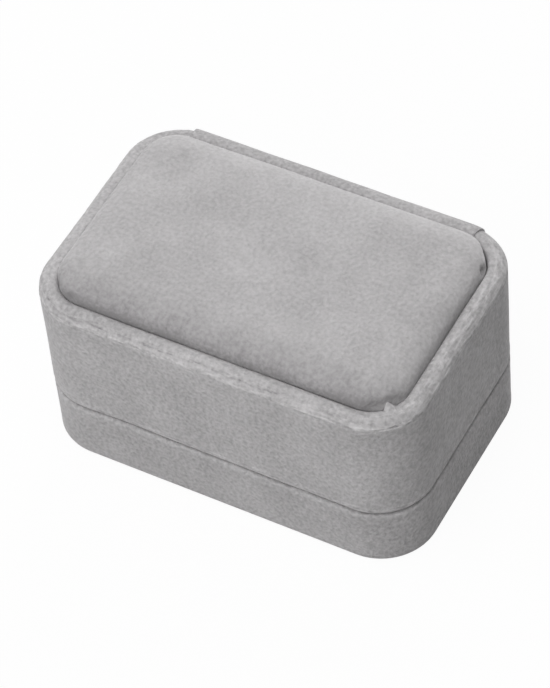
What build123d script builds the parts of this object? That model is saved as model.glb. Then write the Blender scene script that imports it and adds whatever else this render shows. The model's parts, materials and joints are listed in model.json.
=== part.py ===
"""Two-ring presentation box covered in velvet, with a hinged lid. Millimetres, +Z up.

The origin is on the plane that the box stands on, below the middle of its plan.
The front is -Y, and the hinge is along the long side at +Y.
"""

from build123d import *
from math import asin, degrees, radians, tan
import os

# ---- The box, over its velvet ----
BOX_WIDTH = 75.0  # X, left to right
BOX_DEPTH = 49.2  # Y, front to back
CORNER_RADIUS = 10.5  # upright corners, in plan
LEAST_CORNER = 3.0  # the same corners of what lies far inside
SEAM_HEIGHT = 13.25  # the plane where the lid meets the base
LID_HEIGHT = 24.95  # seam to the top of the lid's rim
FOOT_GAP = 0.5  # the velvet's fold stays this far above the table
FOOT_ROUND = 2.0  # soft edge round the underside
RIM_ROUND = 2.1  # soft outer fold of the rim
RIM_INNER_ROUND = 0.4  # inner fold of the rim
SEAM_ROUND = 0.35  # each velvet edge at the seam

# ---- Cloth ----
VELVET = 0.6  # velvet and its glue
STRIP_THICKNESS = 0.45  # hinge strip, pressed flat
STRIP_LENGTH = 57.4  # along the back
STRIP_SHIFT = 0.3  # laid a little to the right of the middle

# ---- Lid ----
LID_WALL = 1.4  # plastic, below the top panel
RIM_WALL = 1.9  # plastic, above the top panel
RIM_DEPTH = 5.0  # rim top down to the sunken panel
TOP_PANEL = 1.6  # plastic under the sunken panel
LID_BOARD = 1.0  # card under the ceiling cushion
LID_PAD_RISE = 1.4  # straight side of the ceiling cushion
LID_PAD_ROLL = 0.9  # its rounded edge
LID_PAD_CROWN = 0.5  # its swell
LID_PAD_GAP = 0.3  # cushion to lined wall

# ---- Cushion in the rim ----
TOP_PAD_GAP = 0.5  # cushion to the rim's velvet, room for the strip's turned end
TOP_BOARD = 1.5
TOP_PAD_SIDE = 5.6  # panel up to where the edge starts to roll
TOP_PAD_ROLL = 2.7  # rounded edge
TOP_PAD_CROWN = 0.7  # swell from the middle of a side to the middle of the cushion
PAD_TUCK = 0.3  # how far a cushion's foot is drawn in
PAD_EASE = 2.0  # a cushion's corners have this much more radius than what it lies in
BOARD_INSET = 0.5  # foam wrapped round a board's edge

# ---- Base ----
BASE_WALL = 2.4
BASE_FLOOR = 1.6
BOTTOM_CARD = 1.9
BOTTOM_COVER = 0.4
BOTTOM_BAND = 5.0  # width of the velvet turned under
BOTTOM_FIT = 0.3  # bottom board to its recess

# ---- Collar that guides the lid ----
COLLAR_CARD = 1.0
COLLAR_VELVET = 0.5  # each face
COLLAR_RISE = 3.5  # above the seam
COLLAR_ROUND = 0.8

# ---- Ring cushion ----
RING_PAD_GAP = 0.3
RING_BOARD = 1.2
RING_PAD_SIDE = 7.6  # tray floor up to where the edge starts to roll
RING_PAD_ROLL = 2.0
RING_PAD_CROWN = 0.9
RING_SLOT_LENGTH = 22.0  # free opening of a slot
RING_SLOT_WIDTH = 1.8
RING_SLOT_DEPTH = 8.0  # below the cushion's top
RING_SLOT_PITCH = 32.0  # middle to middle

# ---- Hinge ----
LID_OPENING = 100.0  # degrees, where the back edges of lid and base meet
EDGE_CLEARANCE = 0.5  # degrees left at each back edge at that angle
HINGE_LENGTH = 30.0
LEAF_HEIGHT = 8.0
LEAF_STEEL = 0.4
BARREL_RADIUS = 0.9
PIN_RADIUS = 0.4
PIN_HEAD_RADIUS = 0.7
PIN_HEAD = 0.4
PIN_SEAT = 0.02  # pin to the base's knuckles
PIN_RUNNING = 0.05  # pin to the lid's knuckles
KNUCKLES = 5  # odd ones on the base, even ones on the lid
KNUCKLE_GAP = 0.2
KNUCKLE_CLEARANCE = 0.35  # round a knuckle that turns
POCKET_CLEARANCE = 0.2  # leaf to its pocket
RIVET_RADIUS = 0.8
RIVET_SEAT = 0.02
RIVET_DROP = 4.6  # seam to a rivet
RIVET_HEAD_RADIUS = 1.4
RIVET_HEAD = 0.4
SPRING_STEEL = 0.3
SPRING_WIDTH = 4.4
SPRING_FOOT = 2.0  # spring below its rivet
SPRING_CLEARANCE = 0.05  # spring to knuckle
SPRING_TOP_GAP = 0.15  # spring end below the seam

# ---- Heights and lines that several pieces share ----
RIM_TOP = SEAM_HEIGHT + LID_HEIGHT
PANEL_TOP = RIM_TOP - RIM_DEPTH
CEILING = PANEL_TOP - TOP_PANEL
RIM_WIDTH = VELVET + RIM_WALL + VELVET
LID_LINING_INSET = VELVET + LID_WALL
LID_ROOM_INSET = LID_LINING_INSET + VELVET
TRAY_INSET = VELVET + BASE_WALL
COLLAR_WALL = COLLAR_VELVET + COLLAR_CARD + COLLAR_VELVET
WELL_INSET = TRAY_INSET + COLLAR_WALL
BOARD_TOP = BOTTOM_COVER + BOTTOM_CARD
TRAY_FLOOR = BOARD_TOP + BASE_FLOOR
COLLAR_TOP = SEAM_HEIGHT + COLLAR_RISE
BACK = BOX_DEPTH / 2
LEAF_BACK = BACK - LID_LINING_INSET + LEAF_STEEL
AXIS_Y = BACK - LID_LINING_INSET + BARREL_RADIUS
KNUCKLE_PITCH = HINGE_LENGTH / KNUCKLES
BEYOND = 5.0  # how far a cutting block runs past what it cuts


def plan(inset, ease=0.0):
    """The box's rounded rectangle in plan, drawn in by inset; ease adds to its corners' radius."""
    corner = max(CORNER_RADIUS - inset + ease, LEAST_CORNER)
    return RectangleRounded(BOX_WIDTH - 2 * inset, BOX_DEPTH - 2 * inset, corner)


def block(inset, low, high, ease=0.0):
    """An upright block of that plan between two heights."""
    return Pos(0, 0, low) * extrude(plan(inset, ease), high - low)


def slab(x, y, z):
    """A box from its low and high limits along each axis."""
    size = [limit[1] - limit[0] for limit in (x, y, z)]
    middle = [(limit[1] + limit[0]) / 2 for limit in (x, y, z)]
    return Pos(*middle) * Box(*size)


def rounded(solid, face, radius):
    """The solid with the outer edge of one of its flat faces rounded."""
    return fillet(face.outer_wire().edges(), radius) if radius > 0 else solid


def top_face(solid):
    return solid.faces().sort_by(Axis.Z)[-1]


def bottom_face(solid):
    return solid.faces().sort_by(Axis.Z)[0]


# ---- Outer forms, at a depth below the velvet's surface ----
def base_form(depth):
    """The base as one lump: its soft lower edge and its edge at the seam."""
    lump = block(depth, FOOT_GAP + depth, SEAM_HEIGHT - depth)
    lump = rounded(lump, bottom_face(lump), FOOT_ROUND - depth)
    return rounded(lump, top_face(lump), SEAM_ROUND - depth)


def lid_form(depth):
    """The lid as one lump, with its soft rim and the sunken panel inside it."""
    lump = block(depth, SEAM_HEIGHT + depth, RIM_TOP - depth)
    lump = rounded(lump, bottom_face(lump), SEAM_ROUND - depth)
    lump = rounded(lump, top_face(lump), RIM_ROUND - depth)
    lump -= block(RIM_WIDTH - depth, PANEL_TOP, RIM_TOP + BEYOND)
    inner_edge = top_face(lump).inner_wires()[0].edges()
    inner_round = RIM_INNER_ROUND - depth
    return fillet(inner_edge, inner_round) if inner_round > 0 else lump


# ---- Room for the hinge ----
def back_wedge(up):
    """What is cut from a back edge so that lid and base close on each other when open.

    up is 1 for the lid's edge and -1 for the base's.
    """
    reach = BACK - AXIS_Y + BEYOND
    rise = reach * tan(radians(LID_OPENING / 2 + EDGE_CLEARANCE))
    corners = [(AXIS_Y, SEAM_HEIGHT), (AXIS_Y + reach, SEAM_HEIGHT),
               (AXIS_Y + reach, SEAM_HEIGHT + up * rise)]
    side = Plane.YZ * make_face(Polyline(*corners, close=True))
    return extrude(side, BOX_WIDTH / 2, both=True)


def hinge_room(front, up):
    """The notch for the knuckles and the pocket for a leaf; front is the wall's inner face."""
    half = HINGE_LENGTH / 2 + PIN_HEAD + POCKET_CLEARANCE
    deep = BARREL_RADIUS + KNUCKLE_CLEARANCE
    reach = LEAF_HEIGHT + POCKET_CLEARANCE
    notch_z = sorted((SEAM_HEIGHT - up * deep, SEAM_HEIGHT + up * deep))
    pocket_z = sorted((SEAM_HEIGHT, SEAM_HEIGHT + up * reach))
    notch = slab((-half, half), (front, BACK + BEYOND), notch_z)
    return notch + slab((-half, half), (front, LEAF_BACK), pocket_z)


def rivet_places():
    """X of each pair of rivets: the base's are under the lid's knuckles, and the reverse."""
    return {-1: (-KNUCKLE_PITCH, KNUCKLE_PITCH), 1: (-2 * KNUCKLE_PITCH, 2 * KNUCKLE_PITCH)}


def rivet_bores(up, extra=0.0):
    """The rivets' shanks, or their holes with some extra radius."""
    bores = []
    for x in rivet_places()[up]:
        middle = (LEAF_BACK - LEAF_STEEL + BACK - VELVET) / 2
        length = BACK - VELVET - (LEAF_BACK - LEAF_STEEL)
        place = Pos(x, middle, SEAM_HEIGHT + up * RIVET_DROP) * Rot(90, 0, 0)
        bores.append(place * Cylinder(RIVET_RADIUS + extra, length))
    return bores


# ---- Base ----
def base_shell():
    shell = base_form(VELVET) - block(TRAY_INSET, TRAY_FLOOR, SEAM_HEIGHT + BEYOND)
    shell -= block(BOTTOM_BAND, -BEYOND, BOARD_TOP)
    shell -= hinge_room(BACK - TRAY_INSET, -1)
    shell -= back_wedge(-1)
    for bore in rivet_bores(-1, RIVET_SEAT):
        shell -= bore
    return shell


def base_velvet_wrap():
    wrap = base_form(0) - base_form(VELVET)
    wrap -= block(TRAY_INSET, FOOT_GAP + VELVET, SEAM_HEIGHT + BEYOND)
    wrap -= block(BOTTOM_BAND, -BEYOND, BOARD_TOP)
    wrap -= hinge_room(BACK - TRAY_INSET, -1)
    return wrap - back_wedge(-1)


def bottom_card():
    return block(BOTTOM_BAND + BOTTOM_FIT, BOTTOM_COVER, BOARD_TOP)


def bottom_cover():
    return block(BOTTOM_BAND + BOTTOM_FIT, 0, BOTTOM_COVER)


def collar_card():
    inset = TRAY_INSET + COLLAR_VELVET
    high = COLLAR_TOP - COLLAR_VELVET
    return block(inset, TRAY_FLOOR, high) - block(inset + COLLAR_CARD, TRAY_FLOOR, high)


def collar_velvet():
    ring = block(TRAY_INSET, TRAY_FLOOR, COLLAR_TOP)
    ring = rounded(ring, top_face(ring), COLLAR_ROUND)
    ring -= block(WELL_INSET, TRAY_FLOOR, COLLAR_TOP)
    return ring - collar_card()


# ---- Cushions ----
def arch_radius(half_span, rise):
    """Radius of an arc that rises so far over half its span."""
    return (half_span ** 2 + rise ** 2) / (2 * rise)


def dome(half_width, half_depth, top, crown):
    """All that lies under a shallow dome, which drops by the crown along X and along Y."""
    across = arch_radius(half_depth, crown)
    along = arch_radius(half_width, crown)
    reach = half_depth + BEYOND
    drop = across - (across ** 2 - reach ** 2) ** 0.5
    arc = ThreePointArc((-reach, top - drop), (0, top), (reach, top - drop))
    base = top - drop - BOX_DEPTH
    edges = arc + Polyline((reach, top - drop), (reach, base), (-reach, base), (-reach, top - drop))
    section = Plane.YZ * make_face(edges)
    turn = 2 * degrees(asin((half_width + BEYOND) / along))
    axis = Axis((0, 0, top - along), (0, 1, 0))
    return revolve(section, axis, turn).rotate(axis, -turn / 2)


def cushion(inset, foot, side, roll, crown, skin=0.0):
    """A cushion lying on foot: tucked in below, rolled at the edge, swelling to its middle.

    skin draws the whole form in, for the foam under a cover.
    """
    edge = inset + skin
    waist = foot + side / 2
    top = foot + side + roll + crown - skin
    under = dome(BOX_WIDTH / 2 - edge, BOX_DEPTH / 2 - edge, top, crown)
    upper = block(edge, waist, top + BEYOND, PAD_EASE) & under
    upper = fillet(top_face(upper).outer_wire().edges(), roll)
    rows = ((foot, edge + PAD_TUCK), (waist, edge))
    lower = loft([Pos(0, 0, z) * plan(inwards, PAD_EASE) for z, inwards in rows], ruled=True)
    return lower + upper


def ring_slots(lining):
    """The two ring slots, at a lining's depth inside the velvet's face."""
    top = TRAY_FLOOR + RING_PAD_SIDE + RING_PAD_ROLL + RING_PAD_CROWN
    half_length = RING_SLOT_LENGTH / 2 + lining
    half_width = RING_SLOT_WIDTH / 2 + lining
    slots = []
    for x in (-RING_SLOT_PITCH / 2, RING_SLOT_PITCH / 2):
        slots.append(slab((x - half_length, x + half_length), (-half_width, half_width),
                          (top - RING_SLOT_DEPTH - lining, top + BEYOND)))
    return slots


def ring_pad(skin):
    return cushion(WELL_INSET + RING_PAD_GAP, TRAY_FLOOR, RING_PAD_SIDE, RING_PAD_ROLL,
                   RING_PAD_CROWN, skin)


def ring_pad_board():
    inset = WELL_INSET + RING_PAD_GAP + PAD_TUCK + VELVET + BOARD_INSET
    return block(inset, TRAY_FLOOR, TRAY_FLOOR + RING_BOARD, PAD_EASE)


def ring_pad_foam():
    foam = ring_pad(VELVET) - ring_pad_board()
    for slot in ring_slots(VELVET):
        foam -= slot
    return foam


def ring_pad_velvet():
    cover = ring_pad(0) - ring_pad(VELVET)
    for tuck in ring_slots(VELVET):
        cover += tuck & ring_pad(0)
    for slot in ring_slots(0):
        cover -= slot
    return cover


def top_pad(skin):
    return cushion(RIM_WIDTH + TOP_PAD_GAP, PANEL_TOP, TOP_PAD_SIDE, TOP_PAD_ROLL,
                   TOP_PAD_CROWN, skin)


def top_pad_board():
    inset = RIM_WIDTH + TOP_PAD_GAP + PAD_TUCK + VELVET + BOARD_INSET
    return block(inset, PANEL_TOP, PANEL_TOP + TOP_BOARD, PAD_EASE)


def top_pad_foam():
    return top_pad(VELVET) - top_pad_board()


def top_pad_velvet():
    return top_pad(0) - top_pad(VELVET)


# ---- Lid ----
def lid_shell():
    shell = lid_form(VELVET) - block(LID_LINING_INSET, SEAM_HEIGHT, CEILING)
    shell -= hinge_room(BACK - LID_LINING_INSET, 1)
    shell -= back_wedge(1)
    for bore in rivet_bores(1, RIVET_SEAT):
        shell -= bore
    return shell


def lid_velvet_wrap():
    wrap = lid_form(0) - lid_form(VELVET)
    wrap -= block(LID_ROOM_INSET, SEAM_HEIGHT - BEYOND, CEILING)
    wrap -= hinge_room(BACK - LID_ROOM_INSET, 1) - block(LID_LINING_INSET, SEAM_HEIGHT + VELVET,
                                                         CEILING)
    return wrap - back_wedge(1)


def lid_lining_wall():
    low = SEAM_HEIGHT + VELVET
    lining = block(LID_LINING_INSET, low, CEILING) - block(LID_ROOM_INSET, low, CEILING)
    half = HINGE_LENGTH / 2 + PIN_HEAD + POCKET_CLEARANCE
    high = SEAM_HEIGHT + BARREL_RADIUS + KNUCKLE_CLEARANCE
    return lining - slab((-half, half), (0, BACK), (SEAM_HEIGHT, high))


def lid_lining_board():
    return block(LID_ROOM_INSET + LID_PAD_GAP, CEILING - LID_BOARD, CEILING)


def lid_lining_pad():
    """The ceiling cushion: the same form as the others, turned over."""
    pad = cushion(LID_ROOM_INSET + LID_PAD_GAP, 0, LID_PAD_RISE, LID_PAD_ROLL, LID_PAD_CROWN)
    return Pos(0, 0, CEILING - LID_BOARD) * Rot(180, 0, 0) * pad


# ---- Hinge strip ----
def strip_room():
    """The stretch of the back where the strip lies."""
    middle, half = STRIP_SHIFT, STRIP_LENGTH / 2
    return middle - half, middle + half


def hinge_strip_lid():
    strip = lid_form(-STRIP_THICKNESS) - lid_form(0)
    strip &= slab(strip_room(), (0, BACK + BEYOND), (SEAM_HEIGHT, RIM_TOP + BEYOND))
    strip -= slab(strip_room(), (0, BACK), (SEAM_HEIGHT, PANEL_TOP))
    return strip - back_wedge(1)


def hinge_strip_base():
    strip = base_form(-STRIP_THICKNESS) - base_form(0)
    strip &= slab(strip_room(), (0, BACK + BEYOND), (-BEYOND, SEAM_HEIGHT))
    strip -= block(BOTTOM_BAND, -BEYOND, BOARD_TOP)
    return strip - back_wedge(-1)


# ---- Hinge ----
def knuckle_middles(first):
    """X of the knuckles of one leaf: first is 0 for the base's and 1 for the lid's."""
    start = -HINGE_LENGTH / 2 + KNUCKLE_PITCH / 2
    return [start + i * KNUCKLE_PITCH for i in range(first, KNUCKLES, 2)]


def barrel(x, radius, length):
    return Pos(x, AXIS_Y, SEAM_HEIGHT) * Rot(0, 90, 0) * Cylinder(radius, length)


def hinge_leaf(up, first, bore_clearance):
    """A stamped leaf: a plate against the wall with its own knuckles rolled from its edge."""
    half = HINGE_LENGTH / 2
    front = LEAF_BACK - LEAF_STEEL
    leaf = slab((-half, half), (front, LEAF_BACK),
                sorted((SEAM_HEIGHT, SEAM_HEIGHT + up * LEAF_HEIGHT)))
    gap = BARREL_RADIUS + KNUCKLE_CLEARANCE
    for x in knuckle_middles(1 - first):
        reach = KNUCKLE_PITCH / 2 + KNUCKLE_GAP / 2
        leaf -= slab((x - reach, x + reach), (front - BEYOND, BACK),
                     sorted((SEAM_HEIGHT - up * gap, SEAM_HEIGHT + up * gap)))
    for x in knuckle_middles(first):
        leaf += barrel(x, BARREL_RADIUS, KNUCKLE_PITCH - KNUCKLE_GAP)
    leaf -= barrel(0, PIN_RADIUS + bore_clearance, HINGE_LENGTH)
    for bore in rivet_bores(up, RIVET_SEAT):
        leaf -= bore
    return leaf


def hinge_leaf_lower():
    return hinge_leaf(-1, 0, PIN_SEAT)


def hinge_leaf_upper():
    return hinge_leaf(1, 1, PIN_RUNNING)


def hinge_pin():
    pin = barrel(0, PIN_RADIUS, HINGE_LENGTH)
    for side in (-1, 1):
        pin += barrel(side * (HINGE_LENGTH + PIN_HEAD) / 2, PIN_HEAD_RADIUS, PIN_HEAD)
    return pin


def hinge_springs():
    """Flat clips, one at each of the lid's knuckles, with their feet under the rivets."""
    back = LEAF_BACK - LEAF_STEEL
    clips = []
    for x in rivet_places()[-1]:
        foot = slab((x - SPRING_WIDTH / 2, x + SPRING_WIDTH / 2), (back - SPRING_STEEL, back),
                    (SEAM_HEIGHT - RIVET_DROP - SPRING_FOOT,
                     SEAM_HEIGHT - BARREL_RADIUS - KNUCKLE_CLEARANCE))
        blade = slab((x - SPRING_WIDTH / 2, x + SPRING_WIDTH / 2),
                     (back - SPRING_STEEL - SPRING_CLEARANCE, back - SPRING_CLEARANCE),
                     (SEAM_HEIGHT - BARREL_RADIUS - 2 * KNUCKLE_CLEARANCE,
                      SEAM_HEIGHT - SPRING_TOP_GAP))
        hole = Pos(x, back, SEAM_HEIGHT - RIVET_DROP) * Rot(90, 0, 0)
        clips.append(foot + blade - hole * Cylinder(RIVET_RADIUS + RIVET_SEAT, BEYOND))
    return clips


def hinge_rivets_lower():
    """Domed rivets through spring foot, leaf and wall."""
    front = LEAF_BACK - LEAF_STEEL - SPRING_STEEL
    back = BACK - VELVET
    rivets = []
    for x in rivet_places()[-1]:
        place = Pos(x, 0, SEAM_HEIGHT - RIVET_DROP)
        shank = Pos(0, (front + back) / 2, 0) * Rot(90, 0, 0) * Cylinder(RIVET_RADIUS, back - front)
        head = Pos(0, front - RIVET_HEAD / 2, 0) * Rot(90, 0, 0)
        head *= Cylinder(RIVET_HEAD_RADIUS, RIVET_HEAD)
        crown = head.faces().sort_by(Axis.Y)[0].edges()
        rivets.append(place * (shank + fillet(crown, RIVET_HEAD / 2)))
    return rivets


def hinge_rivets_upper():
    """Rivets pressed flush, so that the lining lies flat over them."""
    return rivet_bores(1)


PIECES = [
    base_shell, base_velvet_wrap, bottom_card, bottom_cover, collar_card, collar_velvet,
    ring_pad_board, ring_pad_foam, ring_pad_velvet, hinge_leaf_lower, hinge_pin, hinge_springs,
    hinge_rivets_lower, hinge_strip_base, lid_shell, lid_velvet_wrap, top_pad_board,
    top_pad_foam, top_pad_velvet, lid_lining_wall, lid_lining_board, lid_lining_pad,
    hinge_leaf_upper, hinge_rivets_upper, hinge_strip_lid,
]

os.makedirs("parts", exist_ok=True)
for make in PIECES:
    piece = make()
    if isinstance(piece, list):
        piece = Compound(children=piece)
    export_step(piece, f"parts/{make.__name__}.step")
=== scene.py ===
"""A closed ring box covered in grey velvet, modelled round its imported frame. Metres, +Z up.

The file is laid out as an add-on and is run as a script. Each operator makes one piece or a
group of like pieces; main() calls them in order. The sheets of velvet are swept round the
box's plan, the cushions are closed forms that are evened out and crowned.
"""

import json
import math

import bmesh
import bpy
from bpy.props import FloatProperty, FloatVectorProperty, PointerProperty
from mathutils import Matrix, Vector, noise


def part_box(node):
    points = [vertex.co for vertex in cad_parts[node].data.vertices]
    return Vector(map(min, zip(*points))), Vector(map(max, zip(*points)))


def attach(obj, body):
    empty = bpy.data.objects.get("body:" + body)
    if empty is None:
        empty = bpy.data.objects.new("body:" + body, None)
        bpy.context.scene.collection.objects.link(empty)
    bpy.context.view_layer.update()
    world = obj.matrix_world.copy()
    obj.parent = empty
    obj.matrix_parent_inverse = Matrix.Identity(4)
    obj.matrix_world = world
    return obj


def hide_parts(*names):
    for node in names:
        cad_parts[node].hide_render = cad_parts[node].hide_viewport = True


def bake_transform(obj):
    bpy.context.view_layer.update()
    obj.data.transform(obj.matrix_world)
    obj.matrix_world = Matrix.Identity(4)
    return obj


bl_info = {
    "name": "Velvet Ring Box",
    "version": (1, 0, 0),
    "blender": (4, 5, 0),
    "location": "3D Viewport > Sidebar > Ring Box",
    "description": "Models a velvet-covered ring box with a hinged lid round its frame",
    "category": "Add Mesh",
}

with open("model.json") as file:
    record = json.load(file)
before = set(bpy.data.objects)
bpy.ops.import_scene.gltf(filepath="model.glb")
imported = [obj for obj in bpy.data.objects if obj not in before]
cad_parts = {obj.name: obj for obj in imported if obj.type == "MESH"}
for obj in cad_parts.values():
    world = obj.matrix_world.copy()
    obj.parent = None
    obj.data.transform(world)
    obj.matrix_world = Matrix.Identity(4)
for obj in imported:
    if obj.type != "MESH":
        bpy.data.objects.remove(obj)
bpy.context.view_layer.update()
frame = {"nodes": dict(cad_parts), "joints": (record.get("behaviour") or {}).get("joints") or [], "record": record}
MM = 0.001

# ---- Places read from the frame ----
HINGE = next(joint for joint in frame["joints"] if joint["name"] == "lid_hinge")
AXIS_Y, SEAM = HINGE["pos_m"][1:]
OPENING = math.radians(HINGE["range_deg"][1])
HALF_X, HALF_Y, RIM_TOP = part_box("lid_velvet_wrap")[1]
BASE_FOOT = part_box("base_velvet_wrap")[0].z
STRIP_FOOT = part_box("hinge_strip_base")[0].z
STRIP_LOW, STRIP_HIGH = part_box("hinge_strip_lid")
COVER_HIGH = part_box("bottom_cover")[1]
PIN_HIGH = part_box("hinge_pin")[1]
PAD_LOW, PAD_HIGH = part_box("top_pad_velvet")
RING_PAD_LOW, RING_PAD_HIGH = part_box("ring_pad_velvet")
CEILING_PAD_LOW, CEILING_PAD_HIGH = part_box("lid_lining_pad")
COLLAR_LOW, COLLAR_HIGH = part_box("collar_velvet")
LINING_LOW, LINING_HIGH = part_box("lid_lining_wall")

# ---- Sizes that the frame's boxes don't give ----
BACK_CLEARANCE = math.radians(0.5)  # left at each back edge when the lid is open
NOTCH_HALF = PIN_HIGH.x + 0.2 * MM  # half the length of the velvet's notch for the hinge
NOTCH_DEEP = 1.25 * MM  # seam to the notch's edge, up and down
GAP_BELOW = 0.6  # share of the seam's gap that lies below the hinge's height
TURNED_UNDER = HALF_X - COVER_HIGH.x - 0.3 * MM  # velvet under the foot, up to the cover
TURNED_IN = 0.5 * MM  # velvet inside the seam
TURNED_IN_ROUND = 0.1 * MM
STRIP_OVER = 0.04 * MM  # the strip's turned end lies this far over the rim's velvet
COLLAR_WALL = 2.0 * MM  # card with velvet on both faces
COLLAR_CORNER = 7.5 * MM
COLLAR_ROUND = 0.95 * MM  # each edge of its top
LINING_WALL = 0.6 * MM  # velvet and glue inside the lid
CUSHION_TUCK = 0.3 * MM  # a cushion's foot is drawn in by this
PAD_SWELL = 0.05 * MM  # the top cushion's side stands this far out past the frame's
PAD_CORNER = 6.9 * MM
RING_PAD_CORNER = 7.2 * MM
CEILING_PAD_CORNER = 9.6 * MM
SLOTS_X = (-16 * MM, 16 * MM)  # middles of the two ring slots
SLOT_HALF_LENGTH = 11 * MM
SLOT_HALF_WIDTH = 0.9 * MM
SLOT_DEPTH = 8 * MM
EVEN_EDGE = 2 * MM  # a wrap's side is even this near to the seam and the foot

# Small pinches in the top cushion's edge: the place in plan, the reach and the move, in mm.
PINCHES = (
    # The near right corner is pressed in under the rim's lap and on both sides of it.
    ((30.6, -20.0), 1.3, (-0.25, 0.65, -0.3)),
    ((33.2, -17.6), 1.3, (-0.6, 0.35, -0.3)),
    ((32.0, -18.4), 1.0, (-0.4, 0.3, -0.3)),
    # The near left corner is cut short between two pinches.
    ((-32.5, -18.6), 0.9, (0.5, 0.3, -0.3)),
    ((-28.4, -20.8), 0.8, (0.1, 0.5, -0.3)),
    # The far right corner is slack, with a small pinch in the velvet.
    ((32.4, 18.4), 2.6, (-0.3, -0.25, 0)),
    ((33.8, 14.6), 0.8, (-1.0, 0.1, -0.4)),
)

# Each lamp's name, its azimuth and elevation in degrees, and its power in watts.
LAMPS = (
    ("lamp_behind", -175, 15, 3.6),
    ("lamp_behind_left", -135, 40, 0.8),
    ("lamp_above", 8, 74, 3.0),
    ("lamp_left", -60, 12, 1.8),
    ("lamp_front", 4, 35, 1.9),
)


class RINGBOX_PG_sizes(bpy.types.PropertyGroup):
    """Sizes that a user would change."""

    corner: FloatProperty(
        name="Corner radius", description="Upright corners of the box, in plan",
        default=10.5 * MM, min=4 * MM, unit="LENGTH")
    rim_round: FloatProperty(
        name="Rim fold", description="Radius of the velvet over the rim's outer edge",
        default=2.1 * MM, min=0.5 * MM, unit="LENGTH")
    rim_inner_round: FloatProperty(
        name="Inner rim fold", description="Radius of the velvet over the rim's inner edge",
        default=0.85 * MM, min=0.2 * MM, unit="LENGTH")
    seam_round: FloatProperty(
        name="Seam fold", description="Radius of each velvet edge at the seam",
        default=0.75 * MM, min=0.1 * MM, unit="LENGTH")
    seam_gap: FloatProperty(
        name="Seam gap", description="Air between the velvet of lid and base, more of it below",
        default=0.6 * MM, min=0, unit="LENGTH")
    foot_round: FloatProperty(
        name="Foot fold", description="Radius of the velvet under the base",
        default=0.4 * MM, min=0.2 * MM, unit="LENGTH")
    cloth: FloatProperty(
        name="Velvet thickness", description="Backing and pressed pile",
        default=0.32 * MM, min=0.1 * MM, unit="LENGTH")
    weave_step: FloatProperty(
        name="Mesh step", description="Length of one face along a sheet of velvet",
        default=0.6 * MM, min=0.4 * MM, unit="LENGTH")
    rumple: FloatProperty(
        name="Rumple", description="How far the crushed pile stands out along the rim",
        default=0.18 * MM, min=0, unit="LENGTH")
    recess_gap: FloatProperty(
        name="Recess gap", description="Air between the rim's velvet and the cushion's side",
        default=0.08 * MM, min=0, unit="LENGTH")


def srgb(code):
    """A hex colour such as B2B0B1, turned from sRGB to linear, with full alpha."""
    parts = [int(code[i:i + 2], 16) / 255 for i in (0, 2, 4)]
    linear = [c / 12.92 if c <= 0.04045 else ((c + 0.055) / 1.055) ** 2.4 for c in parts]
    return (*linear, 1.0)


class RINGBOX_PG_colours(bpy.types.PropertyGroup):
    """Colours that a user would change. They are linear; sRGB hex values give the defaults."""

    # The velvet colour is the dark end of the pile's colours, also used for painted shade; the next is the pale
    # end, also used for painted sheen and highlights.
    velvet: FloatVectorProperty(
        name="Velvet", description="Pile seen from above", subtype="COLOR", size=4,
        min=0, max=1, default=srgb("8B898A"))
    velvet_pale_and_painted_sheen: FloatVectorProperty(
        name="Crushed velvet", description="Pile that lies over and shows its sides",
        subtype="COLOR", size=4, min=0, max=1, default=srgb("D1CFD0"))
    inner_velvet: FloatVectorProperty(
        name="Inner velvet", description="Velvet of the cushions inside", subtype="COLOR",
        size=4, min=0, max=1, default=srgb("969495"))


# ---- Nodes and materials ----
def add_node(tree, kind, values=None, links=None, **settings):
    """Adds one shader node: its settings, its sockets' values and what feeds its sockets."""
    made = tree.nodes.new(kind)
    for name, value in settings.items():
        setattr(made, name, value)
    for socket, value in (values or {}).items():
        made.inputs[socket].default_value = value
    for socket, source in (links or {}).items():
        tree.links.new(source, made.inputs[socket])
    return made


def new_material(name):
    """An empty node material and its node tree."""
    material = bpy.data.materials.new(name)
    material.use_nodes = True
    material.node_tree.nodes.clear()
    return material, material.node_tree


def per_metre(size_mm):
    """The scale of a pattern whose features are that many millimetres across."""
    return 1 / (size_mm * MM)


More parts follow.
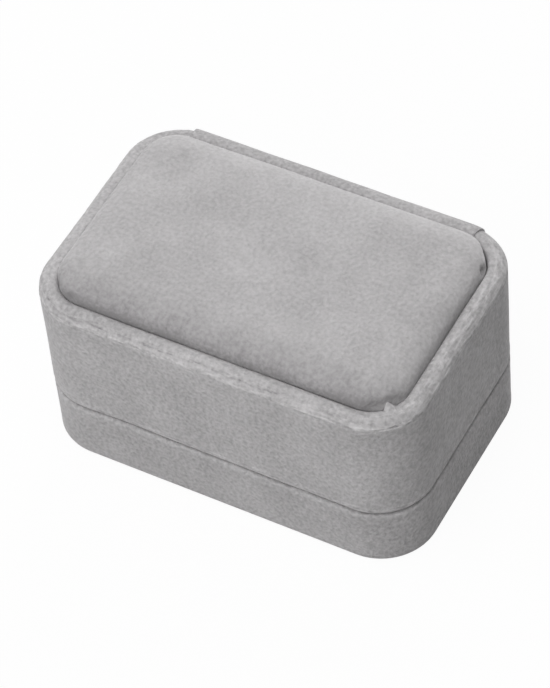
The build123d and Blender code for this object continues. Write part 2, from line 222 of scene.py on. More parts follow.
def velvet_material(name, upright, crushed, painted_sheen_way, grain, pale):
    """Polyester velvet: a dense upright pile that shows its dark depths from above and
    shines along its tips where it is seen from the side.

    Faces turned along the given way are painted paler and faces turned against it are painted darker:
    painted sheen and shade by facing. grain is how strongly its tufts stand apart, and pale is
    the mean share of the paler colour, which is lower on the base as painted shade.
    """
    material, tree = new_material(name)
    coordinates = add_node(tree, "ShaderNodeTexCoord")
    place = coordinates.outputs["Object"]
    # Painted sheen and shade: faces turned along the given way are painted paler and faces turned against it
    # darker, whatever the lamps do.
    painted_sheen = add_node(tree, "ShaderNodeVectorMath", {1: painted_sheen_way},
                    {0: coordinates.outputs["Normal"]}, operation="DOT_PRODUCT")
    nap = add_node(tree, "ShaderNodeAttribute", attribute_name="nap")
    parts = add_node(tree, "ShaderNodeSeparateXYZ", links={0: nap.outputs["Vector"]})
    # Tufts of pile, 0.7 mm: coarser than the fibres, which would not show.
    tufts = add_node(tree, "ShaderNodeTexNoise", {"Scale": per_metre(0.7), "Detail": 2.0,
                                                   "Roughness": 0.5}, {"Vector": place})
    # Patches where the pile was brushed over, about 9 mm.
    patches = add_node(tree, "ShaderNodeTexNoise", {"Scale": per_metre(9), "Detail": 2.0,
                                                    "Roughness": 0.5}, {"Vector": place})
    # Streaks of crushed pile along a fold: 3.5 mm long and 0.7 mm wide.
    stretch = add_node(tree, "ShaderNodeMapping",
                       {"Scale": (per_metre(3.5), per_metre(0.7), 0)},
                       {"Vector": nap.outputs["Vector"]})
    streaks = add_node(tree, "ShaderNodeTexNoise", {"Scale": 1.0, "Detail": 3.0,
                                                    "Roughness": 0.65},
                       {"Vector": stretch.outputs[0]})
    streak_range = add_node(tree, "ShaderNodeMapRange",
                            {"From Min": 0.4, "From Max": 0.66, "To Min": -0.3, "To Max": 1.2},
                            {"Value": streaks.outputs["Fac"]})
    # The attribute's Z carries the folds' crushed pile with painted highlight and painted shade on it.
    crush_and_painted_light = add_node(tree, "ShaderNodeMath", None,
                     {0: streak_range.outputs[0], 1: parts.outputs["Z"]}, operation="MULTIPLY")
    tuft_share = add_node(tree, "ShaderNodeMapRange",
                          {"From Min": 0.3, "From Max": 0.7, "To Min": -grain, "To Max": grain},
                          {"Value": tufts.outputs["Fac"]})
    patch_share = add_node(tree, "ShaderNodeMapRange",
                           {"From Min": 0.3, "From Max": 0.7, "To Min": pale - 0.08,
                            "To Max": pale + 0.08},
                           {"Value": patches.outputs["Fac"]})
    lit = add_node(tree, "ShaderNodeMath", None,
                   {0: tuft_share.outputs[0], 1: patch_share.outputs[0]}, operation="ADD")
    with_painted_sheen = add_node(tree, "ShaderNodeMath", None,
                     {0: lit.outputs[0], 1: painted_sheen.outputs["Value"]}, operation="ADD")
    share = add_node(tree, "ShaderNodeMath", None, {0: with_painted_sheen.outputs[0], 1: crush_and_painted_light.outputs[0]},
                     operation="ADD", use_clamp=True)
    # The mix runs from the dark end, also painted shade, to the pale end, also painted highlight and sheen.
    colour = add_node(tree, "ShaderNodeMix", {6: upright, 7: crushed},
                      {0: share.outputs[0]}, data_type="RGBA")
    height = add_node(tree, "ShaderNodeMath", None,
                      {0: tufts.outputs["Fac"], 1: crush_and_painted_light.outputs[0]}, operation="ADD")
    bump = add_node(tree, "ShaderNodeBump", {"Strength": 1.0, "Distance": 0.22 * MM},
                    {"Height": height.outputs[0]})
    shader = add_node(tree, "ShaderNodeBsdfPrincipled",
                      {"Roughness": 0.95, "IOR": 1.45, "Specular IOR Level": 0.15,
                       "Sheen Weight": 0.3, "Sheen Roughness": 0.4,
                       "Sheen Tint": (1.0, 1.0, 1.0, 1.0)},
                      {"Base Color": colour.outputs[2], "Normal": bump.outputs[0]})
    add_node(tree, "ShaderNodeOutputMaterial", None, {"Surface": shader.outputs[0]})
    return material


def flock_material():
    """Flocked paper: short fibres shot on to glue, so it is dark, matt and finely speckled."""
    material, tree = new_material("flocked paper")
    place = add_node(tree, "ShaderNodeTexCoord").outputs["Object"]
    fibres = add_node(tree, "ShaderNodeTexNoise", {"Scale": per_metre(0.3), "Detail": 2.0},
                      {"Vector": place})
    colour = add_node(tree, "ShaderNodeMix", {6: srgb("5E5D5E"), 7: srgb("7A797A")},
                      {0: fibres.outputs["Fac"]}, data_type="RGBA")
    bump = add_node(tree, "ShaderNodeBump", {"Strength": 0.3, "Distance": 0.08 * MM},
                    {"Height": fibres.outputs["Fac"]})
    shader = add_node(tree, "ShaderNodeBsdfPrincipled",
                      {"Roughness": 0.95, "Sheen Weight": 0.2, "Sheen Roughness": 0.4},
                      {"Base Color": colour.outputs[2], "Normal": bump.outputs[0]})
    add_node(tree, "ShaderNodeOutputMaterial", None, {"Surface": shader.outputs[0]})
    return material


def board_material():
    """Pressed grey board: recycled paper pulp, with darker flecks and a dull soft face."""
    material, tree = new_material("grey board")
    place = add_node(tree, "ShaderNodeTexCoord").outputs["Object"]
    pulp = add_node(tree, "ShaderNodeTexNoise", {"Scale": per_metre(1.2), "Detail": 6.0,
                                                 "Roughness": 0.7}, {"Vector": place})
    flecks = add_node(tree, "ShaderNodeTexVoronoi", {"Scale": per_metre(1.6)},
                      {"Vector": place})
    fleck_range = add_node(tree, "ShaderNodeMapRange",
                           {"From Min": 0.05, "From Max": 0.16, "To Min": 0.55, "To Max": 0.0},
                           {"Value": flecks.outputs["Distance"]})
    paper = add_node(tree, "ShaderNodeMix", {6: srgb("9B9690"), 7: srgb("AAA59E")},
                     {0: pulp.outputs["Fac"]}, data_type="RGBA")
    colour = add_node(tree, "ShaderNodeMix", {7: srgb("78736C")},
                      {0: fleck_range.outputs[0], 6: paper.outputs[2]}, data_type="RGBA")
    bump = add_node(tree, "ShaderNodeBump", {"Strength": 0.2, "Distance": 0.05 * MM},
                    {"Height": pulp.outputs["Fac"]})
    shader = add_node(tree, "ShaderNodeBsdfPrincipled", {"Roughness": 0.85},
                      {"Base Color": colour.outputs[2], "Normal": bump.outputs[0]})
    add_node(tree, "ShaderNodeOutputMaterial", None, {"Surface": shader.outputs[0]})
    return material


def shell_material():
    """Moulded polystyrene: an even dark grey with a fine spark-eroded texture."""
    material, tree = new_material("moulded polystyrene")
    place = add_node(tree, "ShaderNodeTexCoord").outputs["Object"]
    grain = add_node(tree, "ShaderNodeTexNoise", {"Scale": per_metre(0.25), "Detail": 2.0},
                     {"Vector": place})
    colour = add_node(tree, "ShaderNodeMix", {6: srgb("8C8C8E"), 7: srgb("989899")},
                      {0: grain.outputs["Fac"]}, data_type="RGBA")
    bump = add_node(tree, "ShaderNodeBump", {"Strength": 0.25, "Distance": 0.02 * MM},
                    {"Height": grain.outputs["Fac"]})
    shader = add_node(tree, "ShaderNodeBsdfPrincipled", {"Roughness": 0.5, "IOR": 1.59},
                      {"Base Color": colour.outputs[2], "Normal": bump.outputs[0]})
    add_node(tree, "ShaderNodeOutputMaterial", None, {"Surface": shader.outputs[0]})
    return material


def steel_material(name, dark, light, roughness):
    """Rolled sheet steel: drawn marks along its length that scatter the light unevenly."""
    material, tree = new_material(name)
    place = add_node(tree, "ShaderNodeTexCoord").outputs["Object"]
    # Rolling marks, 4 mm long and 0.12 mm apart, along the hinge.
    marks_place = add_node(tree, "ShaderNodeMapping",
                           {"Scale": (per_metre(4), per_metre(0.12), per_metre(0.12))},
                           {"Vector": place})
    marks = add_node(tree, "ShaderNodeTexNoise", {"Scale": 1.0, "Detail": 2.0},
                     {"Vector": marks_place.outputs[0]})
    colour = add_node(tree, "ShaderNodeMix", {6: dark, 7: light}, {0: marks.outputs["Fac"]},
                      data_type="RGBA")
    rough = add_node(tree, "ShaderNodeMapRange",
                     {"From Min": 0.3, "From Max": 0.7, "To Min": roughness - 0.08,
                      "To Max": roughness + 0.1}, {"Value": marks.outputs["Fac"]})
    shader = add_node(tree, "ShaderNodeBsdfPrincipled", {"Metallic": 1.0},
                      {"Base Color": colour.outputs[2], "Roughness": rough.outputs[0]})
    add_node(tree, "ShaderNodeOutputMaterial", None, {"Surface": shader.outputs[0]})
    return material


def cloth(kind):
    """One of the box's cuts of velvet, whose material is made once."""
    colours = bpy.context.scene.ring_box_colours
    # The third value of each row is the way of the painted sheen: faces turned that way are painted paler, faces
    # turned away darker.
    name, colour, painted_sheen_way, grain, pale = {
        "cover": ("grey polyester velvet", colours.velvet, (0, 0, 0), 0.22, 0.53),
        # The base's velvet is painted darker than the lid's, as painted shade low down by the floor.
        "base": ("grey polyester velvet, painted darker", colours.velvet, (0, 0, 0), 0.22, 0.47),
        # The cushion's far rolls are painted paler and its near roll darker: painted sheen and shade.
        "cushion": ("grey polyester velvet, cushion", colours.velvet, (0, 0.5, 0), 0.13,
                    0.53),
        "inside": ("pale grey polyester velvet", colours.inner_velvet, (0, 0.1, 0), 0.13, 0.53),
    }[kind]
    return bpy.data.materials.get(name) or velvet_material(
        name, colour, colours.velvet_pale_and_painted_sheen, painted_sheen_way, grain, pale)


# ---- Objects and soft moves ----
def add_object(name, data):
    """A new object in the scene, with that mesh, lamp or camera."""
    made = bpy.data.objects.new(name, data)
    bpy.context.scene.collection.objects.link(made)
    return made


def as_object(bm, name):
    """Turns a bmesh into an object, and frees it."""
    mesh = bpy.data.meshes.new(name)
    bm.to_mesh(mesh)
    bm.free()
    return add_object(name, mesh)


def make_piece(bm, name, material):
    """Turns a bmesh into a smooth piece with a material and a slot."""
    layers = bm.verts.layers.float_vector
    for layer in ("home", "outward"):
        if layer in layers:
            layers.remove(layers[layer])
    piece = as_object(bm, name)
    piece.data.shade_smooth()
    piece.data.materials.append(material)
    return piece


def with_modifiers(form):
    """The form's mesh with its modifiers applied, as a bmesh."""
    graph = bpy.context.evaluated_depsgraph_get()
    mesh = bpy.data.meshes.new_from_object(form.evaluated_get(graph))
    bm = bmesh.new()
    bm.from_mesh(mesh)
    bpy.data.meshes.remove(mesh)
    return bm


def discard(form):
    """Removes a helper object and its mesh."""
    mesh = form.data
    bpy.data.objects.remove(form)
    bpy.data.meshes.remove(mesh)


def fade(distance, reach):
    """1 at no distance, about a third at the reach, and next to nothing at twice the reach."""
    far = distance / reach
    return math.exp(-far * far)


def soften(bm, size, amount, seed, weight=lambda vert: 1):
    """Moves points in and out along their normals by a soft unevenness of that size."""
    bm.normal_update()
    shift = Vector((seed, 0, 0))
    moves = [(v, v.normal * (noise.noise(v.co / size + shift) * amount * weight(v)))
             for v in bm.verts]
    for vert, move in moves:
        vert.co += move


def dent(bm, place, reach, move):
    """Moves what lies near a place, most at the place itself."""
    for vert in bm.verts:
        vert.co += move * fade((vert.co - place).length, reach)


# ---- Sheets of velvet ----
def ring_of_edges(bm, half_x, half_y, corner, step):
    """A closed ring of short edges in plan: a rectangle with round corners.

    Each point keeps its place, the way out from it and how far round it lies, so that the
    ring can be drawn in or out and its corners stay round.
    """
    start = bmesh.ops.create_grid(bm, x_segments=1, y_segments=1, size=1)["verts"]
    bmesh.ops.scale(bm, vec=(half_x, half_y, 1), verts=start)
    bmesh.ops.bevel(bm, geom=start, offset=corner, offset_type="OFFSET", affect="VERTICES",
                    segments=round(corner * math.pi / 2 / step), profile=0.5, material=-1)
    bmesh.ops.delete(bm, geom=bm.faces[:], context="FACES_ONLY")
    for edge in bm.edges[:]:
        cuts = round(edge.calc_length() / step) - 1
        if cuts > 0:
            bmesh.ops.subdivide_edges(bm, edges=[edge], cuts=cuts)
    home = bm.verts.layers.float_vector.new("home")
    outward = bm.verts.layers.float_vector.new("outward")
    nap = bm.verts.layers.float_vector.new("nap")
    flat_x, flat_y = half_x - corner, half_y - corner
    along, last = 0.0, None
    for vert in sorted(bm.verts, key=lambda v: math.atan2(v.co.x, -v.co.y)):
        middle = Vector((max(-flat_x, min(flat_x, vert.co.x)),
                         max(-flat_y, min(flat_y, vert.co.y)), 0))
        along += (vert.co - last).length if last else 0
        last = vert.co.copy()
        vert[home] = vert.co
        vert[outward] = (vert.co - middle).normalized()
        vert[nap] = (along, 0, 0)
    return bm.edges[:]


def rounded_path(corners, step):
    """Points along a line through (inset, height, radius) corners, in steps of that length."""
    points = [Vector(corners[0][:2])]
    for before, here, after in zip(corners, corners[1:], corners[2:]):
        at = Vector(here[:2])
        into = (at - Vector(before[:2])).normalized()
        out = (Vector(after[:2]) - at).normalized()
        turn = into.angle_signed(out)
        reach = here[2] * math.tan(abs(turn) / 2)
        side = Vector((into.y, -into.x)) * math.copysign(here[2], turn)
        centre = at - into * reach + side
        pieces = max(2, round(here[2] * abs(turn) / (step / 2)))
        for i in range(pieces + 1):
            arm = -side.copy()
            arm.rotate(Matrix.Rotation(-turn * i / pieces, 2))
            points.append(centre + arm)
    points.append(Vector(corners[-1][:2]))
    path = [points[0]]
    for point in points[1:]:
        gap = (point - path[-1]).length
        if gap < step / 10:
            continue
        cuts = max(1, round(gap / step))
        start = path[-1]
        path.extend(start.lerp(point, (i + 1) / cuts) for i in range(cuts))
    return path


def sweep(bm, edges, path):
    """Draws the ring along a path of (inset, height) points, and returns its last edges."""
    layers = bm.verts.layers.float_vector
    home, outward, nap = layers["home"], layers["outward"], layers["nap"]
    verts = bm.verts[:]
    across = 0.0
    for i, point in enumerate(path):
        if i:
            made = bmesh.ops.extrude_edge_only(bm, edges=edges)["geom"]
            verts = [g for g in made if isinstance(g, bmesh.types.BMVert)]
            fresh = set(verts)
            edges = [g for g in made if isinstance(g, bmesh.types.BMEdge)
                     and g.verts[0] in fresh and g.verts[1] in fresh]
            across += (point - path[i - 1]).length
        for vert in verts:
            vert.co = vert[home] - vert[outward] * point.x
            vert.co.z = point.y
            vert[nap] = (vert[nap].x, across, 0)
    return edges


def turn_out(bm, sign=1):
    """Makes the faces look away from the middle of the box, or towards it with sign -1."""
    bmesh.ops.recalc_face_normals(bm, faces=bm.faces[:])
    bm.normal_update()
    middle = Vector((0, 0, SEAM))
    facing = sum(f.normal.dot(f.calc_center_median() - middle) * f.calc_area()
                 for f in bm.faces)
    if facing * sign < 0:
        bmesh.ops.reverse_faces(bm, faces=bm.faces[:])
    bm.normal_update()


def thicken(piece, thickness):
    """Gives a sheet its thickness, inwards from its face."""
    wall = piece.modifiers.new("thickness", "SOLIDIFY")
    wall.thickness = thickness
    wall.offset = -1


def rim_width(sizes):
    """The velvet on top of the rim, from the box's side to the recess for the cushion."""
    return HALF_X - PAD_HIGH.x - PAD_SWELL - sizes.recess_gap


def clear_of_hinge(bm, up):
    """Slopes a back edge so that lid and base close on each other when the box is open.

    up is 1 for the lid's edge and -1 for the base's. The rows above the edge make room.
    """
    spread = 6 * MM
    slope = math.tan(OPENING / 2 + BACK_CLEARANCE)
    for vert in bm.verts:
        rise = max(0, vert.co.y - AXIS_Y) * slope
        height = (vert.co.z - SEAM) * up
        if rise and height < spread:
            vert.co.z = SEAM + up * (rise + height * (spread - rise) / spread)


def notch(bm, low, high):
    """Cuts the room for the hinge out of the back of a sheet, between two heights."""
    def back_part():
        faces = [f for f in bm.faces if f.calc_center_median().y > HALF_Y / 2]
        return list({g for f in faces for g in (*f.verts, *f.edges, f)})
    for place, normal in (((-NOTCH_HALF, 0, 0), (1, 0, 0)), ((NOTCH_HALF, 0, 0), (1, 0, 0)),
                          ((0, 0, low), (0, 0, 1)), ((0, 0, high), (0, 0, 1))):
        bmesh.ops.bisect_plane(bm, geom=back_part(), dist=0.001 * MM, plane_co=place,
                               plane_no=normal)
    inside = [f for f in bm.faces if f.calc_center_median().y > HALF_Y / 2
              and abs(f.calc_center_median().x) < NOTCH_HALF
              and low < f.calc_center_median().z < high]
    bmesh.ops.delete(bm, geom=inside, context="FACES")


def pull_tip(bm, place, reach, move):
    """Draws a sharp tip of cloth out of a sheet, on a net that is made finer there."""
    near = [e for e in bm.edges if all((v.co - place).length < 1.6 * reach for v in e.verts)]
    bmesh.ops.subdivide_edges(bm, edges=near, cuts=2, use_grid_fill=True)
    for vert in bm.verts:
        vert.co += move * max(0, 1 - (vert.co - place).length / reach)


def waver(bm):
    """Lets both sides of the seam wander up and down together, but not over the hinge."""
    amount, wave, reach, seed = 0.25 * MM, 7 * MM, 2.5 * MM, 31
    hinge_room = 3 * MM
    for vert in bm.verts:
        if vert.co.y < AXIS_Y - hinge_room:
            place = Vector((vert.co.x / wave, vert.co.y / wave, seed))
            vert.co.z += amount * noise.noise(place) * fade(vert.co.z - SEAM, reach)


def fold_crush_and_painted_light(bm, rumple, across, width, everywhere, front, right):
    """Marks the pile as crushed along a fold that lies so far along the sheet, and rumples it.

    Above 0 the band is crushed pile with a painted highlight on it; below 0 it is painted shade and looks darker.
    The last three amounts are for the whole fold and, on top of that, its front and its right, by how the light
    falls there.
    """
    nap = bm.verts.layers.float_vector["nap"]
    long, wide, seed = 1.8 * MM, 0.9 * MM, 3.1
    bm.normal_update()
    for vert in bm.verts:
        weight = fade(vert[nap].y - across, width)
        at_front = max(0, -vert.co.y / HALF_Y) ** 2
        at_right = max(0, vert.co.x / HALF_X) ** 4
        # Painted highlight above 0 and painted shade below 0, on top of the crushed pile, with more of it at the
        # front and the right.
        vert[nap].z += weight * (everywhere + front * at_front + right * at_right)
        streak = Vector((vert[nap].x / long, vert[nap].y / wide, seed))
        vert.co += vert.normal * (noise.noise(streak) * rumple * weight / 2)


class RINGBOX_OT_base_wrap(bpy.types.Operator):
    """Velvet glued round the base, over its top edge and under its foot"""

    bl_idname = "ring_box.base_wrap"
    bl_label = "Base Velvet"

    def execute(self, context):
        sizes = context.scene.ring_box_sizes
        bm = bmesh.new()
        ring = ring_of_edges(bm, HALF_X, HALF_Y, sizes.corner, sizes.weave_step)
        inner = HALF_X - COLLAR_HIGH.x
        top = SEAM - sizes.seam_gap * GAP_BELOW
        corners = [(inner, top - TURNED_IN, 0), (inner, top, TURNED_IN_ROUND),
                   (0, top, sizes.seam_round), (0, BASE_FOOT, sizes.foot_round),
                   (TURNED_UNDER, BASE_FOOT, 0)]
        sweep(bm, ring, rounded_path(corners, step=0.6 * MM))
        clear_of_hinge(bm, -1)
        notch(bm, SEAM - NOTCH_DEEP, SEAM + NOTCH_DEEP)
        turn_out(bm)
        soften(bm, size=14 * MM, amount=0.12 * MM, seed=3.0,
               weight=lambda v: EVEN_EDGE < v.co.z < SEAM - EVEN_EDGE)
        waver(bm)
        piece = make_piece(bm, "base_velvet", cloth("base"))
        thicken(piece, sizes.cloth)
        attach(piece, "base")
        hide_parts("base_velvet_wrap")
        return {"FINISHED"}


class RINGBOX_OT_lid_wrap(bpy.types.Operator):
    """Velvet glued round the lid, over its rim and down to the sunken panel"""

    bl_idname = "ring_box.lid_wrap"
    bl_label = "Lid Velvet"

    def execute(self, context):
        sizes = context.scene.ring_box_sizes
        bm = bmesh.new()
        ring = ring_of_edges(bm, HALF_X, HALF_Y, sizes.corner, sizes.weave_step)
        inner = HALF_X - LINING_HIGH.x + LINING_WALL
        low = SEAM + sizes.seam_gap * (1 - GAP_BELOW)
        rim = rim_width(sizes)
        corners = [(inner, low + TURNED_IN, 0), (inner, low, TURNED_IN_ROUND),
                   (0, low, sizes.seam_round), (0, RIM_TOP, sizes.rim_round),
                   (rim, RIM_TOP, sizes.rim_inner_round), (rim, PAD_LOW.z, 0)]
        sweep(bm, ring, rounded_path(corners, step=0.5 * MM))
        clear_of_hinge(bm, 1)
        notch(bm, SEAM - NOTCH_DEEP, SEAM + NOTCH_DEEP)
        turn_out(bm)
        soften(bm, size=15 * MM, amount=0.12 * MM, seed=7.0,
               weight=lambda v: v.co.z > SEAM + EVEN_EDGE)
        waver(bm)
        self.crush_and_painted_light(bm, sizes.rumple, inner, inner + RIM_TOP - low)
        # A lap of the velvet stands up at the near right corner, and the far left has a nick.
        pull_tip(bm, Vector((32.5 * MM, -18.7 * MM, RIM_TOP)), 1.1 * MM,
                 Vector((-1.2, 0.95, 0.55)) * MM)
        dent(bm, Vector((-33.1 * MM, 20.6 * MM, RIM_TOP)), 0.8 * MM, Vector((0, 0, -0.3)) * MM)
        piece = make_piece(bm, "lid_velvet", cloth("cover"))
        thicken(piece, sizes.cloth)
        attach(piece, "lid")
        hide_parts("lid_velvet_wrap")
        return {"FINISHED"}

    def crush_and_painted_light(self, bm, rumple, seam_edge, rim_edge):
        """Crushes the pile beside two edges that lie so far along the sheet, and paints highlight and shade along
        them.
        """
        # The lower half of the rim's outer fold: crushed pile with a painted highlight; its upper half: painted
        # shade at the front and a painted highlight at the right; the rim's top: a painted highlight, most at the
        # right.
        fold_crush_and_painted_light(bm, rumple, rim_edge - 1.4 * MM, 0.65 * MM, 0.15, 0.25, 0.4)
        fold_crush_and_painted_light(bm, rumple, rim_edge, 0.6 * MM, 0, -0.4, 0.3)
        fold_crush_and_painted_light(bm, rumple, rim_edge + 1.0 * MM, 0.7 * MM, 0.05, 0.05, 0.3)
        # The fold at the seam.
        fold_crush_and_painted_light(bm, rumple, seam_edge + 1.2 * MM, 0.6 * MM, 0.2, 0.1, 0.1)


class RINGBOX_OT_hinge_strip(bpy.types.Operator):
    """Velvet strip over the hinge, from under the foot up over the rim into the recess"""

    bl_idname = "ring_box.hinge_strip"
    bl_label = "Hinge Strip"

    def execute(self, context):
        sizes = context.scene.ring_box_sizes
        bm = bmesh.new()
        ring_of_edges(bm, HALF_X, HALF_Y, sizes.corner, sizes.weave_step)
        for end, way in ((STRIP_LOW.x, -1), (STRIP_HIGH.x, 1)):
            bmesh.ops.bisect_plane(bm, geom=bm.verts[:] + bm.edges[:], dist=0.001 * MM,
                                   plane_co=(end, 0, 0), plane_no=(way, 0, 0),
                                   clear_outer=True)
        bmesh.ops.delete(bm, geom=[v for v in bm.verts if v.co.y < 0], context="VERTS")
        proud = STRIP_HIGH.y - HALF_Y
        rim = rim_width(sizes) + STRIP_OVER
        corners = [(TURNED_UNDER, STRIP_FOOT, 0), (-proud, STRIP_FOOT, sizes.foot_round + proud),
                   (-proud, RIM_TOP + proud, sizes.rim_round + proud),
                   (rim, RIM_TOP + proud, sizes.rim_inner_round),
                   (rim, PAD_LOW.z, 0)]
        sweep(bm, bm.edges[:], rounded_path(corners, step=0.6 * MM))
        turn_out(bm)
        soften(bm, size=9 * MM, amount=0.12 * MM, seed=11.0)
        # The cloth sinks into the seam a little.
        dip, reach, back = 0.2 * MM, 1.6 * MM, HALF_Y - 2 * MM
        for vert in bm.verts:
            if vert.co.y > back:
                vert.co.y -= dip * fade(vert.co.z - SEAM, reach)
        piece = make_piece(bm, "hinge_strip", cloth("cover"))
        thicken(piece, proud)
        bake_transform(piece)
        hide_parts("hinge_strip_base", "hinge_strip_lid")
        return {"FINISHED"}


class RINGBOX_OT_collar_cover(bpy.types.Operator):
    """Velvet folded over the card collar that guides the lid"""

    bl_idname = "ring_box.collar_cover"
    bl_label = "Collar Velvet"

    def execute(self, context):
        sizes = context.scene.ring_box_sizes
        bm = bmesh.new()
        ring = ring_of_edges(bm, COLLAR_HIGH.x, COLLAR_HIGH.y, COLLAR_CORNER, sizes.weave_step)
        low, top = COLLAR_LOW.z, COLLAR_HIGH.z
        corners = [(0, low, 0), (0, top, COLLAR_ROUND), (COLLAR_WALL, top, COLLAR_ROUND),
                   (COLLAR_WALL, low, 0)]
        sweep(bm, ring, rounded_path(corners, step=0.7 * MM))
        turn_out(bm)
        soften(bm, size=8 * MM, amount=0.1 * MM, seed=21.0)
        piece = make_piece(bm, "collar_cover", cloth("inside"))
        thicken(piece, sizes.cloth)
        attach(piece, "base")
        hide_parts("collar_velvet")
        return {"FINISHED"}


class RINGBOX_OT_lid_lining(bpy.types.Operator):
    """Velvet on the lid's inside walls"""

    bl_idname = "ring_box.lid_lining"
    bl_label = "Lid Lining"

    def execute(self, context):
        sizes = context.scene.ring_box_sizes
        bm = bmesh.new()
        corner = sizes.corner - (HALF_X - LINING_HIGH.x)
        ring = ring_of_edges(bm, LINING_HIGH.x, LINING_HIGH.y, corner, sizes.weave_step)
        low, top = LINING_LOW.z + 0.05 * MM, LINING_HIGH.z
        sweep(bm, ring, rounded_path([(LINING_WALL, low, 0), (LINING_WALL, top, 0)],
                                     step=0.8 * MM))
        below = low - 1 * MM
        notch(bm, below, SEAM + NOTCH_DEEP)
        turn_out(bm, -1)
        soften(bm, size=10 * MM, amount=0.1 * MM, seed=27.0)
        piece = make_piece(bm, "lid_lining", cloth("inside"))
        thicken(piece, sizes.cloth)
        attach(piece, "lid")
        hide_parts("lid_lining_wall")
        return {"FINISHED"}


# ---- Cushions ----
def cushion_form(half, floor, side, roll_in, roll_up, corner):
    """A closed cushion on a floor: tucked in at its foot, rolled at its edge, flat on top.

    half holds half its width and depth. Its edge rolls in and up by those two lengths, from
    the height of its side.
    """
    bm = bmesh.new()
    ring = ring_of_edges(bm, half.x, half.y, corner, step=0.7 * MM)
    path = [Vector((CUSHION_TUCK, floor)), Vector((0, floor + side / 2)),
            Vector((0, floor + side))]
    turns = 10
    for i in range(1, turns + 1):
        angle = math.pi / 2 * i / turns
        path.append(Vector((roll_in * (1 - math.cos(angle)),
                            floor + side + roll_up * math.sin(angle))))
    last = sweep(bm, ring, path)
    bmesh.ops.edgeloop_fill(bm, edges=ring)
    bmesh.ops.edgeloop_fill(bm, edges=last)
    bmesh.ops.recalc_face_normals(bm, faces=bm.faces[:])
    return bm


def cut_slots(bm, floor, top):
    """Cuts the two ring slots out of the closed form."""
    whole = as_object(bm, "form")
    blades = bmesh.new()
    for x in SLOTS_X:
        made = bmesh.ops.create_cube(blades, size=2)["verts"]
        bmesh.ops.scale(blades, vec=(SLOT_HALF_LENGTH, SLOT_HALF_WIDTH, (top - floor) / 2),
                        verts=made)
        bmesh.ops.translate(blades, vec=(x, 0, (top + floor) / 2), verts=made)
    knife = as_object(blades, "knife")
    cut = whole.modifiers.new("cut", "BOOLEAN")
    cut.object = knife
    cut.operation = "DIFFERENCE"
    cut.solver = "EXACT"
    bm = with_modifiers(whole)
    discard(whole)
    discard(knife)
    return bm


def even_net(bm, voxel, smoothings):
    """The closed form as an even net of small quads, smoothed so many times."""
    form = as_object(bm, "form")
    net = form.modifiers.new("net", "REMESH")
    net.mode = "VOXEL"
    net.voxel_size = voxel
    bm = with_modifiers(form)
    discard(form)
    for _ in range(smoothings):
        bmesh.ops.smooth_vert(bm, verts=bm.verts[:], factor=0.5, use_axis_x=True,
                              use_axis_y=True, use_axis_z=True)
    return bm


def crown(bm, half, floor, swell):
    """Swells what lies above floor, most in the middle."""
    top = max(v.co.z for v in bm.verts)
    for vert in bm.verts:
        share = max(0, (vert.co.z - floor) / (top - floor))
        across = max(0, 1 - (vert.co.x / half.x) ** 2)
        deep = max(0, 1 - (vert.co.y / half.y) ** 2)
        vert.co.z += swell * share * (across * deep) ** 0.6


class RINGBOX_OT_top_cushion(bpy.types.Operator):
    """Cushion in the lid's rim: foam on a card under stretched velvet"""

    bl_idname = "ring_box.top_cushion"
    bl_label = "Top Cushion"

    def execute(self, context):
        swell, roll_in, roll_up = 0.7 * MM, 6 * MM, 2.7 * MM
        side = PAD_HIGH.z - PAD_LOW.z - roll_up - swell
        half = PAD_HIGH + Vector((PAD_SWELL, PAD_SWELL, 0))
        bm = cushion_form(half, PAD_LOW.z, side, roll_in, roll_up, PAD_CORNER)
        bm = even_net(bm, voxel=0.5 * MM, smoothings=1)
        crown(bm, PAD_HIGH, RIM_TOP, swell)
        edge = RIM_TOP + 0.6 * MM
        for (x, y), reach, move in PINCHES:
            dent(bm, Vector((x * MM, y * MM, edge)), reach * MM, Vector(move) * MM)
        soften(bm, size=16 * MM, amount=0.15 * MM, seed=5.0)
        piece = make_piece(bm, "top_cushion", cloth("cushion"))
        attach(piece, "lid")
        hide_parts("top_pad_velvet", "top_pad_foam")
        return {"FINISHED"}


class RINGBOX_OT_ring_cushion(bpy.types.Operator):
    """Cushion in the base, with a slot for each of two rings"""

    bl_idname = "ring_box.ring_cushion"
    bl_label = "Ring Cushion"

    def execute(self, context):
        swell, roll_in, roll_up = 0.9 * MM, 3.4 * MM, 2.0 * MM
        floor, top = RING_PAD_LOW.z, RING_PAD_HIGH.z
        side = top - floor - roll_up - swell
        bm = cushion_form(RING_PAD_HIGH, floor, side, roll_in, roll_up, RING_PAD_CORNER)
        bm = cut_slots(bm, top - SLOT_DEPTH, top + 2 * MM)
        bm = even_net(bm, voxel=0.45 * MM, smoothings=2)
        crown(bm, RING_PAD_HIGH, top - roll_up - swell, swell)
        self.sink_lips(bm, top)
        soften(bm, size=9 * MM, amount=0.2 * MM, seed=9.0)
        piece = make_piece(bm, "ring_cushion", cloth("inside"))
        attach(piece, "base")
        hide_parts("ring_pad_velvet", "ring_pad_foam")
        return {"FINISHED"}

    def sink_lips(self, bm, top):
        """Draws the velvet down along both sides of each slot."""
        drop, reach = 0.7 * MM, 1.5 * MM
        end, bottom = SLOT_HALF_LENGTH + 0.6 * MM, top - 2.4 * MM
        for vert in bm.verts:
            along = min(abs(vert.co.x - x) for x in SLOTS_X)
            if along < end and vert.co.z > bottom:
                vert.co.z -= drop * fade(vert.co.y, reach)


